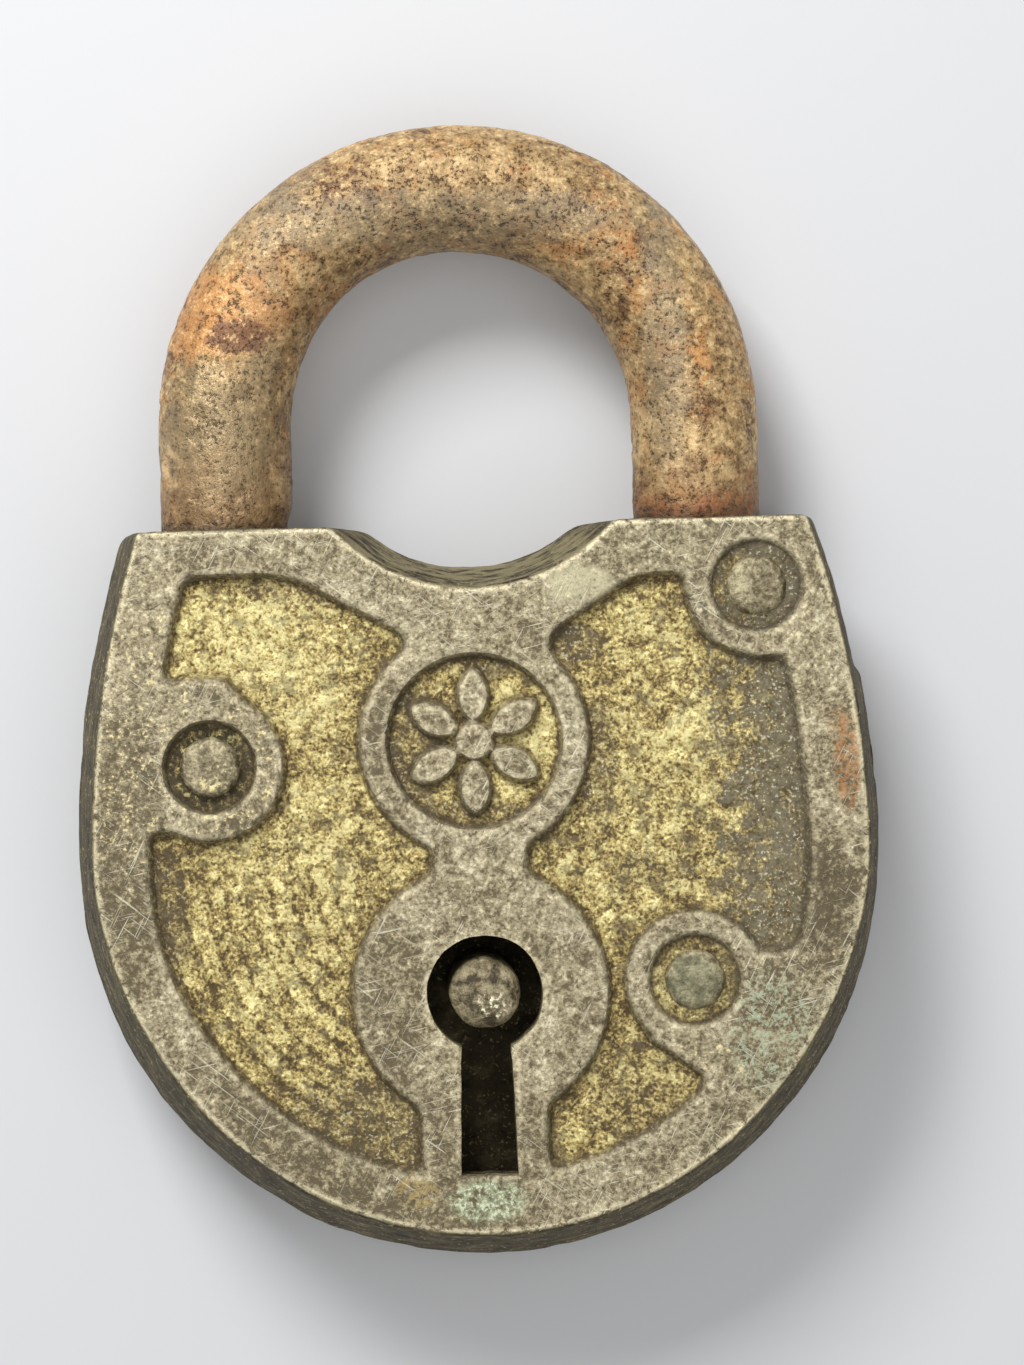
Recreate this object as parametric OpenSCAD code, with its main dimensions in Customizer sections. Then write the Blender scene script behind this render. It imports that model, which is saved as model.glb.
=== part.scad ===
// Old cast-brass lever padlock, lying on its back: two cast shells, a swinging iron shackle,
// a round keyhole with its post, a dead bolt and a pack of sprung levers.
// X runs to the right, Y towards the shackle's bow and Z out of the front face.
// The origin is on the back face, on the axis of the key post.

/* [Case] */
// Half the width of the case at its seam
case_half_w = 30.3; // [27:0.1:37]
// How much narrower each side of the case is at its top corner
top_in = 3.9; // [2:0.1:5]
// Height of the widest point above the key post
case_mid_y = 10; // [8:0.1:13]
// Height of the flat top above the key post
case_top_y = 34.7; // [32:0.1:42]
// Lean of the cast sides, from the seam in to each face
draft = 2.2; // [1.5:0.1:3]
// Thickness of the front and back plates
plate_t = 3; // [2.4:0.1:4]
// Thickness of the side walls at the seam
wall = 3.2; // [2.7:0.1:4]
// Thickness of the top wall
top_wall = 3; // [2.4:0.1:4]
// Height of the end of the right wall, below the gap that the shackle swings out of
gap_end_y = 24.7; // [22:0.1:26]

/* [Notch in the top] */
// Radius of the notch at the front edge
notch_r = 13.6; // [11:0.1:15]
// Depth of the notch's front edge below the flat top
notch_depth = 4.7; // [3.5:0.1:5.5]
// Lean of the notch's wall, from the face in to the seam
notch_draft = 1.7; // [1:0.1:2]

/* [Front relief] */
// Depth of the sunk fields
field_d = 1; // [0.6:0.1:1.4]
// Width of the raised frame round the fields
frame_w = 4; // [3:0.1:5]
// Radius of the raised boss round the left rivet
left_boss_r = 5.3; // [5:0.05:6.5]
// Radius of the raised boss round the shackle's rivet
pivot_boss_r = 4.9; // [4.5:0.1:5.5]
// Radius of the raised boss round the lower rivet
lower_boss_r = 4.9; // [4.5:0.1:5.5]
// Radius of the raised disc round the keyhole
disc_r = 9.3; // [8.5:0.1:10]
// Height of the medallion's centre
medal_y = 18.7; // [18:0.1:20]
// Outer radius of the medallion's ring
medal_r = 8.3; // [8:0.1:9]
// Inner radius of the medallion's ring
medal_inner_r = 6.5; // [5.5:0.1:6.8]
// Half the width of the raised neck above the medallion
upper_neck = 5; // [4:0.1:6]
// Half the width of the raised neck between medallion and disc
waist = 3.3; // [2.5:0.1:4]
// Half the width of the raised neck below the disc
lower_neck = 4.5; // [4:0.1:5.5]

/* [Keyhole] */
// Radius of the round part of the keyhole
keyhole_r = 4.2; // [3.8:0.1:4.8]
// Width of the keyhole's slot
slot_w = 3.9; // [3:0.1:4.5]
// Reach of the slot below the key post's axis
slot_len = 12.8; // [11:0.1:15.4]
// Radius of the key post
post_r = 2.6; // [2:0.1:3.2]

/* [Rivets] */
// Radius of a rivet's shank
rivet_r = 2; // [1.6:0.1:2.4]
// Radius of a rivet's peened end
rivet_head_r = 2.2; // [1.9:0.1:2.9]
// Radius of the sunk ring round a peened end
sink_r = 3.5; // [3.1:0.1:4.2]
// Depth of the sunk ring
sink_d = 0.9; // [0.6:0.1:1.2]
// Distance of the left rivet from the side of the case
left_rivet_in = 10.5; // [9:0.1:12]
// Height of the left rivet
left_rivet_y = 17.2; // [16:0.1:19]
// Distance of the lower rivet from the side of the case
lower_rivet_in = 14.8; // [14:0.1:16]
// Height of the lower rivet
lower_rivet_y = 0.6; // [0:0.1:2]
// Distance of the shackle's rivet from the top corner of the case
pivot_in = 5.6; // [5:0.1:7]
// Distance of the shackle's rivet below the flat top
pivot_down = 5.2; // [5:0.1:6]

/* [Shackle] */
// Diameter of the shackle's rod
rod_d = 9.525; // [7.9:0.005:11.5]
// Distance of the toe's axis from the top corner of the case
toe_in = 7.85; // [7:0.05:9]
// Distance of the heel leg's axis from the top corner of the case
heel_in = 9.25; // [8.5:0.05:10]
// Straight length of the legs above the flat top
leg_h = 7.7; // [6:0.1:20]
// Depth of the toe below the flat top
toe_depth = 12.9; // [12:0.1:14]
// Radius of the eye round the shackle's rivet
eye_r = 5; // [4.4:0.1:5.2]
// Depth of the bolt's notch in the toe
toe_notch_d = 3.9; // [3:0.1:5]

/* [Bolt] */
// Travel of the bolt
bolt_throw = 4; // [3:0.1:5]
// Thickness of the bolt's plate
bolt_t = 2; // [1.6:0.1:2.4]
// Height of the bolt's head
head_h = 3.1; // [2.5:0.1:3.6]
// Length of the bolt's head
head_l = 3.5; // [3:0.1:4.2]
// Radius of the bolt's stump
stump_r = 1.1; // [0.9:0.05:1.3]

/* [Levers] */
// Angles through which the key lifts the levers, from the back one to the front one
lever_lifts = [6, 8, 5, 7.5, 6.5]; // [4:0.5:9]
// Radius of the post that the levers turn on
lever_post_r = 1.5; // [1.2:0.1:1.8]
// Radius of a lever's eye
lever_eye_r = 3.2; // [2.8:0.1:3.6]
// Gap between neighbouring levers
lever_gap = 0.2; // [0.15:0.01:0.3]
// Thickness of a lever's leaf spring
leaf_t = 0.35; // [0.25:0.01:0.45]

/* [Clearances] */
// Radial play of whatever turns on a pin
running_gap = 0.05; // [0.02:0.01:0.09]
// Play of flat pieces that slide on each other
slide_gap = 0.15; // [0.1:0.01:0.2]
// Play of the shackle between the two plates, on each side
rod_gap = 0.2375; // [0.15:0.0025:0.3]
// Free space round a piece that moves past another
free_gap = 0.3; // [0.25:0.01:0.5]

/* [Hidden] */
$fn = 96;

brass = "#8a7a52";
dark_brass = "#6f6348";
rust = "#8a5a38";
iron = "#6d655c";
spring_steel = "#8c8f93";

// levels through the thickness
rod_r = rod_d / 2;
inner_z = plate_t;                                    // inside of the back plate
seam_z = plate_t + rod_gap + rod_r;                   // the seam, and the shackle's middle
roof_z = 2 * seam_z - plate_t;                        // inside of the front plate
front_z = 2 * seam_z;                                 // the raised front face

// outline of the case: a round lower part, and two long side curves that meet it
top_half_w = case_half_w - top_in;
side_h = case_top_y - case_mid_y;
side_r = (top_in * top_in + side_h * side_h) / (2 * top_in);
notch_cy = case_top_y - notch_depth + notch_r;        // height of the notch's centre
notch_seam_r = notch_r - notch_draft;
far = 2 * case_half_w;                                // a length past every edge

// places of the rivets, and the shackle's lines
left_rivet_at = [left_rivet_in - case_half_w, left_rivet_y];
lower_rivet_at = [case_half_w - lower_rivet_in, lower_rivet_y];
pivot_at = [top_half_w - pivot_in, case_top_y - pivot_down];
toe_x = toe_in - top_half_w;
heel_x = top_half_w - heel_in;
bow_r = (heel_x - toe_x) / 2;
bow_at = [(heel_x + toe_x) / 2, case_top_y + leg_h];
toe_y = case_top_y - toe_depth;                       // the tip of the toe
toe_chamfer = 1;
toe_play = 0.75;                                      // sideways room for the toe's swing
boss_r = rivet_r + 1.6;

// the key turns inside this radius
key_r = slot_len - 0.2;

// the bolt, drawn withdrawn to the right
bolt_z = inner_z + slide_gap;
head_y = toe_y + 2.5;                                 // underside of the bolt's head
head_z1 = roof_z - 1;
toe_notch_play = 0.3;
hub_r = 1.25;                                         // the rosette's middle
petal_out = 3.4;
petal_r = 2.3;
petal_bend = 1.3;
bar_y = head_y - 1.7;                                 // underside of the bolt's bar
bar_h = head_h + 1.7;
head_x = toe_x + rod_r + 0.45;                        // tip of the head, clear of the toe
shoulder_x = toe_x + rod_r + bolt_throw + free_gap;   // the bar's left end, always clear of the toe
bar_end_x = 8.5;
talon_y = key_r - 0.7;                                // underside of the bolt's foot
talon_d = 1.3;
talon_w = 6.8;
foot_w = 14;
guide_r = 1.2;
guide_gap = 0.1;
guide_y = bar_y + bar_h / 2;
guide_xs = [-7, 3];
pin_seat = plate_t / 2;                               // how deep the studs sit in the back plate
stump_at = [3.5, key_r + 6.4];

// the levers
lever_n = len(lever_lifts);
lever_at = [case_half_w - 13.8, key_r + 0.9];         // the post's axis
levers_z = bolt_z + bolt_t + 0.25;
washer_t = 0.5;
lever_space = roof_z - slide_gap - washer_t - levers_z;
lever_t = lever_space / lever_n - lever_gap;
lever_left_x = -13;
lever_low_y = key_r - 2.1;
stop_r = 1.2;
stop_at = [lever_left_x + 1.2, lever_low_y - stop_r - 0.03];
window_r = stump_r + free_gap;

function turned(p, about, angle) = about + [
    (p.x - about.x) * cos(angle) - (p.y - about.y) * sin(angle),
    (p.x - about.x) * sin(angle) + (p.y - about.y) * cos(angle)
];

// ---- outline and shell bodies ----

// the outline as a flat shape, drawn in by inset all round and cut off at top
module outline(inset, top) {
    intersection() {
        translate([0, case_mid_y]) circle(case_half_w - inset);
        translate([-far, case_mid_y - 2 * far]) square([2 * far, 2 * far]);
    }
    intersection() {
        translate([case_half_w - side_r, case_mid_y]) circle(side_r - inset);
        translate([side_r - case_half_w, case_mid_y]) circle(side_r - inset);
        translate([-far, case_mid_y]) square([2 * far, top - case_mid_y]);
    }
}

// one half of the case before it is hollowed, from the seam up to a face
module drafted_half() {
    h = front_z - seam_z;
    intersection() {
        translate([0, case_mid_y, 0]) cylinder(h = h, r1 = case_half_w, r2 = case_half_w - draft);
        translate([-far, case_mid_y - 2 * far, 0]) cube([2 * far, 2 * far, h]);
    }
    intersection() {
        translate([case_half_w - side_r, case_mid_y, 0])
            cylinder(h = h, r1 = side_r, r2 = side_r - draft);
        translate([side_r - case_half_w, case_mid_y, 0])
            cylinder(h = h, r1 = side_r, r2 = side_r - draft);
        translate([-far, case_mid_y, 0]) cube([2 * far, case_top_y - case_mid_y, h]);
    }
}

// the hollow inside the case
module hollow_shape() {
    difference() {
        outline(wall, case_top_y - top_wall);
        translate([0, notch_cy]) circle(notch_seam_r + top_wall);
    }
}

// one shell, standing on the seam with its plate on top
module half_shell() {
    h = front_z - seam_z;
    deep = h - plate_t;
    difference() {
        drafted_half();
        difference() {
            translate([0, 0, -1]) linear_extrude(deep + 1) hollow_shape();
            translate([left_rivet_at.x, left_rivet_at.y, 0]) cylinder(h = h, r = boss_r);
        }
        translate([0, notch_cy, 0]) cylinder(h = h, r1 = notch_seam_r, r2 = notch_r);
        // the gap that the heel's leg swings out of, open at the top and the right
        translate([heel_x - rod_r - 0.4, gap_end_y, -1]) cube([far, far, deep + 1]);
        toe_hole();
        for (p = [left_rivet_at, lower_rivet_at, pivot_at]) translate([p.x, p.y, 0]) {
            cylinder(h = h + 1, r = rivet_r);
            translate([0, 0, h - sink_d]) cylinder(h = sink_d + 1, r = sink_r);
        }
    }
}

// half of the long hole that the toe enters
module toe_hole() {
    r = rod_r + rod_gap - 0.05;
    y0 = case_top_y - top_wall - 1;
    intersection() {
        union() {
            for (s = [-1, 1])
                translate([toe_x + s * toe_play, y0, 0])
                    rotate([-90, 0, 0]) cylinder(h = far, r = r);
            translate([toe_x - toe_play, y0, -r]) cube([2 * toe_play, far, 2 * r]);
        }
        translate([-far, y0, -1]) cube([far, far, front_z]);
    }
}

// ---- front relief ----

// the ground of the sunk fields, before the raised parts are taken out of it
module field_ground() {
    reach = frame_w + draft;
    top = case_top_y - top_wall;
    left_top = top - 0.2;                             // upper edge of the left field
    right_top = top - 0.7;                            // upper edge of the right field
    slope_x = upper_neck + 0.6;
    slope_y = medal_y + medal_r - 0.4;
    left_run = 8.6;                                   // how wide the frame's slopes by the notch are
    right_run = 6.4;
    difference() {
        outline(reach, top);
        // the frame follows the notch
        polygon([[-slope_x - left_run, top + 1], [-slope_x - left_run, left_top],
                 [-slope_x, slope_y], [slope_x, slope_y],
                 [slope_x + right_run, right_top], [far, right_top], [far, top + 1]]);
    }
}

// raised parts that stand in the fields
module field_islands() {
    spur_x = 2;                                       // where the spur by the lower rivet meets the frame
    spur_top = lower_boss_r / 2;
    translate([0, medal_y]) circle(medal_r);
    circle(disc_r);
    translate([-waist, 0]) square([2 * waist, medal_y]);
    translate([-upper_neck, medal_y]) square([2 * upper_neck, far]);
    translate([-lower_neck, -far]) square([2 * lower_neck, far]);
    translate(left_rivet_at) circle(left_boss_r);
    translate(left_rivet_at - [far, left_boss_r]) square([far, 2 * left_boss_r]);
    translate(pivot_at) circle(pivot_boss_r);
    translate(pivot_at - [0, pivot_boss_r]) square([far, far]);
    translate(pivot_at - [pivot_boss_r, 0]) square([far, far]);
    translate(lower_rivet_at) circle(lower_boss_r);
    translate(lower_rivet_at)
        polygon([[0, 0], lower_boss_r * [cos(234), sin(234)], [spur_x - 1.5, -lower_boss_r - 1.7],
                 [spur_x, -far], [far, -far], [far, spur_top], [spur_top + spur_x, spur_top]]);
}

// a plain six-petalled rosette on the medallion's sunk floor
module rosette() {
    circle(hub_r);
    for (i = [0:5]) rotate(60 * i + 30) intersection() {
        translate([petal_out, petal_bend]) circle(petal_r);
        translate([petal_out, -petal_bend]) circle(petal_r);
    }
}

module front_shell() color(brass) translate([0, 0, seam_z]) {
    h = front_z - seam_z;
    difference() {
        half_shell();
        translate([0, 0, h - field_d]) linear_extrude(field_d + 1)
            difference() {
                field_ground();
                field_islands();
            }
        translate([0, medal_y, h - field_d]) linear_extrude(field_d + 1)
            difference() {
                circle(medal_inner_r);
                rosette();
            }
        cylinder(h = h + 1, r = keyhole_r);
        translate([-slot_w / 2, -slot_len, 0]) cube([slot_w, slot_len, h + 1]);
    }
}

module back_shell() color(dark_brass) translate([0, 0, seam_z]) mirror([0, 0, 1]) {
    h = front_z - seam_z;
    difference() {
        half_shell();
        // blind seats for the studs
        stud_seat([0, 0], post_r - 0.8);
        stud_seat(lever_at, lever_post_r);
        stud_seat(stop_at, stop_r);
        for (x = guide_xs) stud_seat([x, guide_y], guide_r);
    }
}

module stud_seat(at, r) {
    translate([at.x, at.y, front_z - seam_z - plate_t - 1]) cylinder(h = pin_seat + 1, r = r);
}

// ---- fasteners and studs ----

// a rivet from face to face, with both ends peened into their sunk rings
module rivet(at) {
    end_d = 0.12;                                     // how far the ends stay below the faces
    rim = 0.35;
    cap = sink_d - end_d - rim;
    translate([at.x, at.y, 0]) {
        translate([0, 0, sink_d]) cylinder(h = front_z - 2 * sink_d, r = rivet_r);
        for (s = [0, 1]) translate([0, 0, s * front_z]) mirror([0, 0, s]) {
            translate([0, 0, sink_d - rim]) cylinder(h = rim, r = rivet_head_r);
            translate([0, 0, end_d]) cylinder(h = cap, r1 = rivet_head_r - cap, r2 = rivet_head_r);
        }
    }
}

module left_rivet() color(dark_brass) rivet(left_rivet_at);
module lower_rivet() color(dark_brass) rivet(lower_rivet_at);
module shackle_rivet() color(dark_brass) rivet(pivot_at);

// a round stud seated in the back plate
module stud(at, r, z1) {
    translate([at.x, at.y, inner_z - pin_seat]) cylinder(h = z1 - inner_z + pin_seat, r = r);
}

module key_post() color(iron) {
    dome_r = 1.85 * post_r;
    dome_h = dome_r - sqrt(dome_r * dome_r - post_r * post_r);
    tip_z = front_z - 0.2;
    stud([0, 0], post_r - 0.8, inner_z + 0.5);
    translate([0, 0, inner_z]) cylinder(h = tip_z - dome_h - inner_z, r = post_r);
    intersection() {
        translate([0, 0, tip_z - dome_r]) sphere(dome_r);
        translate([0, 0, tip_z - dome_h]) cylinder(h = dome_h + 1, r = post_r);
    }
}

module lever_post() color(iron) stud(lever_at, lever_post_r, roof_z - slide_gap);
module lever_stop_pin() color(iron) stud(stop_at, stop_r, roof_z - slide_gap);
module guide_pin_left() color(iron) stud([guide_xs[0], guide_y], guide_r, levers_z - 0.2);
module guide_pin_right() color(iron) stud([guide_xs[1], guide_y], guide_r, levers_z - 0.2);

module collar(z0, z1) {
    translate([lever_at.x, lever_at.y, z0]) difference() {
        cylinder(h = z1 - z0, r = lever_eye_r - 0.6);
        translate([0, 0, -1]) cylinder(h = z1 - z0 + 2, r = lever_post_r);
    }
}

module lever_spacer() color(iron) collar(inner_z, levers_z - lever_gap / 2);
module lever_washer() color(iron)
    collar(roof_z - slide_gap - washer_t + lever_gap / 2, roof_z - slide_gap);

// ---- shackle ----

module shackle() color(rust) translate([0, 0, seam_z]) {
    pivot = [pivot_at.x, pivot_at.y, 0];
    heel_y = pivot_at.y - 1;
    heel_taper = 2.5;
    eye_h = rod_d - 0.6;                              // the eye is forged a little flatter
    notch_x = toe_x + rod_r - toe_notch_d;
    difference() {
        union() {
            translate([bow_at.x, bow_at.y, 0]) rotate_extrude(angle = 180)
                translate([bow_r, 0]) circle(rod_r);
            translate([toe_x, bow_at.y, 0]) rotate([90, 0, 0])
                cylinder(h = bow_at.y - toe_y - toe_chamfer, r = rod_r);
            translate([toe_x, toe_y + toe_chamfer, 0]) rotate([90, 0, 0])
                cylinder(h = toe_chamfer, r1 = rod_r, r2 = rod_r - toe_chamfer);
            translate([heel_x, bow_at.y, 0]) rotate([90, 0, 0])
                cylinder(h = bow_at.y - heel_y, r = rod_r);
            translate([heel_x, heel_y, 0]) rotate([90, 0, 0])
                cylinder(h = heel_taper, r1 = rod_r, r2 = rod_r - heel_taper);
            translate(pivot - [0, 0, eye_h / 2]) cylinder(h = eye_h, r = eye_r);
        }
        translate(pivot - [0, 0, rod_r + 1]) cylinder(h = rod_d + 2, r = rivet_r + running_gap);
        translate([notch_x, head_y - toe_notch_play, -rod_r - 1])
            cube([rod_d, head_h + 2 * toe_notch_play, rod_d + 2]);
    }
}

// ---- bolt ----

module bolt() color(iron) translate([0, 0, bolt_z]) {
    difference() {
        union() {
            translate([shoulder_x, bar_y, 0]) cube([bar_end_x - shoulder_x, bar_h, bolt_t]);
            translate([head_x, head_y, 0]) cube([shoulder_x - head_x + 1, head_h, bolt_t]);
            translate([head_x, head_y, 0]) cube([head_l, head_h, head_z1 - bolt_z]);
            translate([bolt_throw / 2 - foot_w / 2, talon_y, 0])
                cube([foot_w, bar_y - talon_y + 1, bolt_t]);
        }
        // the talon that the key pushes in
        translate([bolt_throw / 2 - talon_w / 2, talon_y - 1, -1]) cube([talon_w, talon_d + 1, bolt_t + 2]);
        // slots that run on the guide pins
        for (x = guide_xs) translate([x, guide_y, -1]) {
            for (end = [0, bolt_throw])
                translate([end, 0, 0]) cylinder(h = bolt_t + 2, r = guide_r + guide_gap);
            translate([0, -guide_r - guide_gap, 0])
                cube([bolt_throw, 2 * (guide_r + guide_gap), bolt_t + 2]);
        }
        translate([stump_at.x, stump_at.y, -1]) cylinder(h = bolt_t + 2, r = stump_r);
    }
}

module bolt_stump() color(iron)
    translate([stump_at.x, stump_at.y, bolt_z]) cylinder(h = roof_z - 0.3 - bolt_z, r = stump_r);

// ---- levers ----

// a straight slot with round ends between two points
module slot(p, q, r) {
    run = q - p;
    translate(p) circle(r);
    translate(q) circle(r);
    translate(p) rotate(atan2(run.y, run.x)) translate([0, -r]) square([norm(run), 2 * r]);
}

// the same with square ends, as a punch cuts it
module punched(p, q, r) {
    run = q - p;
    translate(p) rotate(atan2(run.y, run.x)) translate([-r, -r]) square([norm(run) + 2 * r, 2 * r]);
}

// the window that lets the stump pass once the lever is lifted
module window(lift) {
    thrown = stump_at - [bolt_throw, 0];
    open_lifted = turned(stump_at, lever_at, lift);
    thrown_lifted = turned(thrown, lever_at, lift);
    punched(stump_at, open_lifted, window_r);
    punched(open_lifted, thrown_lifted, window_r);
    punched(thrown_lifted, thrown, window_r);
    punched(stump_at, thrown_lifted, window_r);
}

// root, knee and tip of a lever's leaf spring
leaf_root = stump_at + [4.5, 1];
leaf_knee = [4.5, notch_cy - notch_seam_r - top_wall - 2.4];
leaf_tip = [-1.5, notch_cy - notch_seam_r - top_wall - 0.25];

// the flat outline of a lever's arm, left of its eye
module lever_arm() {
    reach = lever_at.x - stump_at.x;
    window_top = stump_at.y + window_r;
    neck_r = lever_eye_r - 0.25;                      // the arm ends just inside the eye's rim
    polygon([
        [lever_left_x, lever_low_y], [lever_left_x, lever_low_y + 6.5],
        [lever_left_x + 5, window_top + 0.8], [lever_at.x - reach + 2, window_top + 2.4],
        lever_at + neck_r * [cos(70), sin(70)], lever_at - neck_r * [cos(70), sin(70)]
    ]);
}

module lever(i) color(brass) translate([0, 0, levers_z + i * (lever_t + lever_gap)]) {
    lift = lever_lifts[i];
    difference() {
        union() {
            linear_extrude(lever_t) lever_arm();
            translate([lever_at.x, lever_at.y, 0]) cylinder(h = lever_t, r = lever_eye_r);
        }
        // the belly that the key lifts
        translate([0, 0, -1]) cylinder(h = lever_t + 2, r = key_r - lever_at.x * sin(lift));
        translate([0, 0, -1]) linear_extrude(lever_t + 2) window(lift);
        translate([0, 0, -1]) linear_extrude(lever_t + 2) punched(leaf_root, leaf_knee, leaf_t / 2);
        translate([lever_at.x, lever_at.y, -1])
            cylinder(h = lever_t + 2, r = lever_post_r + running_gap);
    }
}

module lever_spring(i) color(spring_steel)
    translate([0, 0, levers_z + i * (lever_t + lever_gap) + 0.1])
        linear_extrude(lever_t - 0.2) {
            slot(leaf_root, leaf_knee, leaf_t / 2);
            slot(leaf_knee, leaf_tip, leaf_t / 2);
        }

front_shell();
back_shell();
left_rivet();
lower_rivet();
shackle_rivet();
key_post();
shackle();
bolt();
bolt_stump();
guide_pin_left();
guide_pin_right();
lever_post();
lever_spacer();
lever_washer();
lever_stop_pin();
lever(0);  // lever_1
lever(1);  // lever_2
lever(2);  // lever_3
lever(3);  // lever_4
lever(4);  // lever_5
lever_spring(0);  // lever_spring_1
lever_spring(1);  // lever_spring_2
lever_spring(2);  // lever_spring_3
lever_spring(3);  // lever_spring_4
lever_spring(4);  // lever_spring_5
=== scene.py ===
import math

import bpy
import bmesh
import numpy as np
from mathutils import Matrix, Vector, geometry, kdtree


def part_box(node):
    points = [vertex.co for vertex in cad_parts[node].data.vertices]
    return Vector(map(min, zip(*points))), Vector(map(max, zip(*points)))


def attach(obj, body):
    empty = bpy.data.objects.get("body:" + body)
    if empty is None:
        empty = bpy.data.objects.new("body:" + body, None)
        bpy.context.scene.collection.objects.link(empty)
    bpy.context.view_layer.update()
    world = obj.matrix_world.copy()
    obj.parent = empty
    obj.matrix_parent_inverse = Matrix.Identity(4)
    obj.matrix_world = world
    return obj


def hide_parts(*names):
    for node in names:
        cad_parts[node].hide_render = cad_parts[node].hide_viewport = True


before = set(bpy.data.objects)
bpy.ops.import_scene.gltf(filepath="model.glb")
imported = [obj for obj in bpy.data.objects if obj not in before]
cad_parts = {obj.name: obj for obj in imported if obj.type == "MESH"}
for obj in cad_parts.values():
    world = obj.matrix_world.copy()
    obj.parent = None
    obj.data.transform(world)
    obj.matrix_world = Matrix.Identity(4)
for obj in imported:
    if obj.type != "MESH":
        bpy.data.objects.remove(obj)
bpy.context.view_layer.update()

mm = 0.001
print("frame loaded")


def addObject(name, data):
    made = bpy.data.objects.new(name, data)
    bpy.context.scene.collection.objects.link(made)
    return made


# small tools for shader and geometry trees
def rgb(red, green, blue):  # a colour as it looks on screen, 0 to 255
    def linear(v):
        v = v / 255
        return v / 12.92 if v <= 0.04045 else ((v + 0.055) / 1.055) ** 2.4
    return (linear(red), linear(green), linear(blue), 1.0)


def palette(**shades):
    return {name: rgb(*shade) for name, shade in shades.items()}


class Wire:  # an output socket; arithmetic on it adds Math nodes
    def __init__(self, tree, socket=None):
        self.tree, self.socket = tree, socket

    def node(self, kind, sockets=None, settings=None, out=0):
        made = self.tree.nodes.new(kind)
        for name, value in (settings or {}).items():
            if name == "stops":
                ramp = made.color_ramp.elements
                while len(ramp) < len(value):
                    ramp.new(0.5)
                for stop, (place, colour) in zip(ramp, value):
                    stop.position, stop.color = place, colour
            else:
                setattr(made, name, value)
        self.feed(made, sockets or {})
        return Wire(self.tree, made.outputs[out])

    def feed(self, node, sockets):
        for name, value in sockets.items():
            if isinstance(value, Wire):
                self.tree.links.new(value.socket, node.inputs[name])
            else:
                node.inputs[name].default_value = value

    def math(self, operation, a, b=0.0):
        return self.node("ShaderNodeMath", {0: a, 1: b}, {"operation": operation})

    def vector(self, operation, a, b):
        second = 3 if operation == "SCALE" else 1
        return self.node("ShaderNodeVectorMath", {0: a, second: b}, {"operation": operation})

    def combine(self, x=0, y=0, z=0):
        return self.node("ShaderNodeCombineXYZ", {0: x, 1: y, 2: z})

    def clouds(self, vector, size, detail=1.0, rough=0.5, warp=0.0):
        return self.node("ShaderNodeTexNoise", {
            "Vector": vector, "Scale": 1 / size, "Detail": detail, "Roughness": rough, "Distortion": warp})

    def push(self, geometry, offset):
        return self.node("GeometryNodeSetPosition", {"Geometry": geometry, "Offset": offset})

    def axes(self, vector):
        return [self.node("ShaderNodeSeparateXYZ", {0: vector}, out=i) for i in range(3)]

    def __add__(self, other):
        return self.math("ADD", self, other)

    def __sub__(self, other):
        return self.math("SUBTRACT", self, other)

    def __rsub__(self, other):
        return self.math("SUBTRACT", other, self)

    def __mul__(self, other):
        return self.math("MULTIPLY", self, other)

    def __truediv__(self, other):
        return self.math("DIVIDE", self, other)

    def __rtruediv__(self, other):
        return self.math("DIVIDE", other, self)

    def __pow__(self, other):
        return self.math("POWER", self, other)

    __radd__ = __add__
    __rmul__ = __mul__


def soft(value, low, high):  # 0 at low, 1 at high, smooth between
    return value.node("ShaderNodeMapRange", {"Value": value, "From Min": low, "From Max": high},
                      {"interpolation_type": "SMOOTHSTEP"})


def blend(colour, *layers):  # each layer is a colour and its share
    for layer, share in layers:
        colour = share.node("ShaderNodeMix", {0: share, 6: colour, 7: layer}, {"data_type": "RGBA"}, 2)
    return colour


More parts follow.
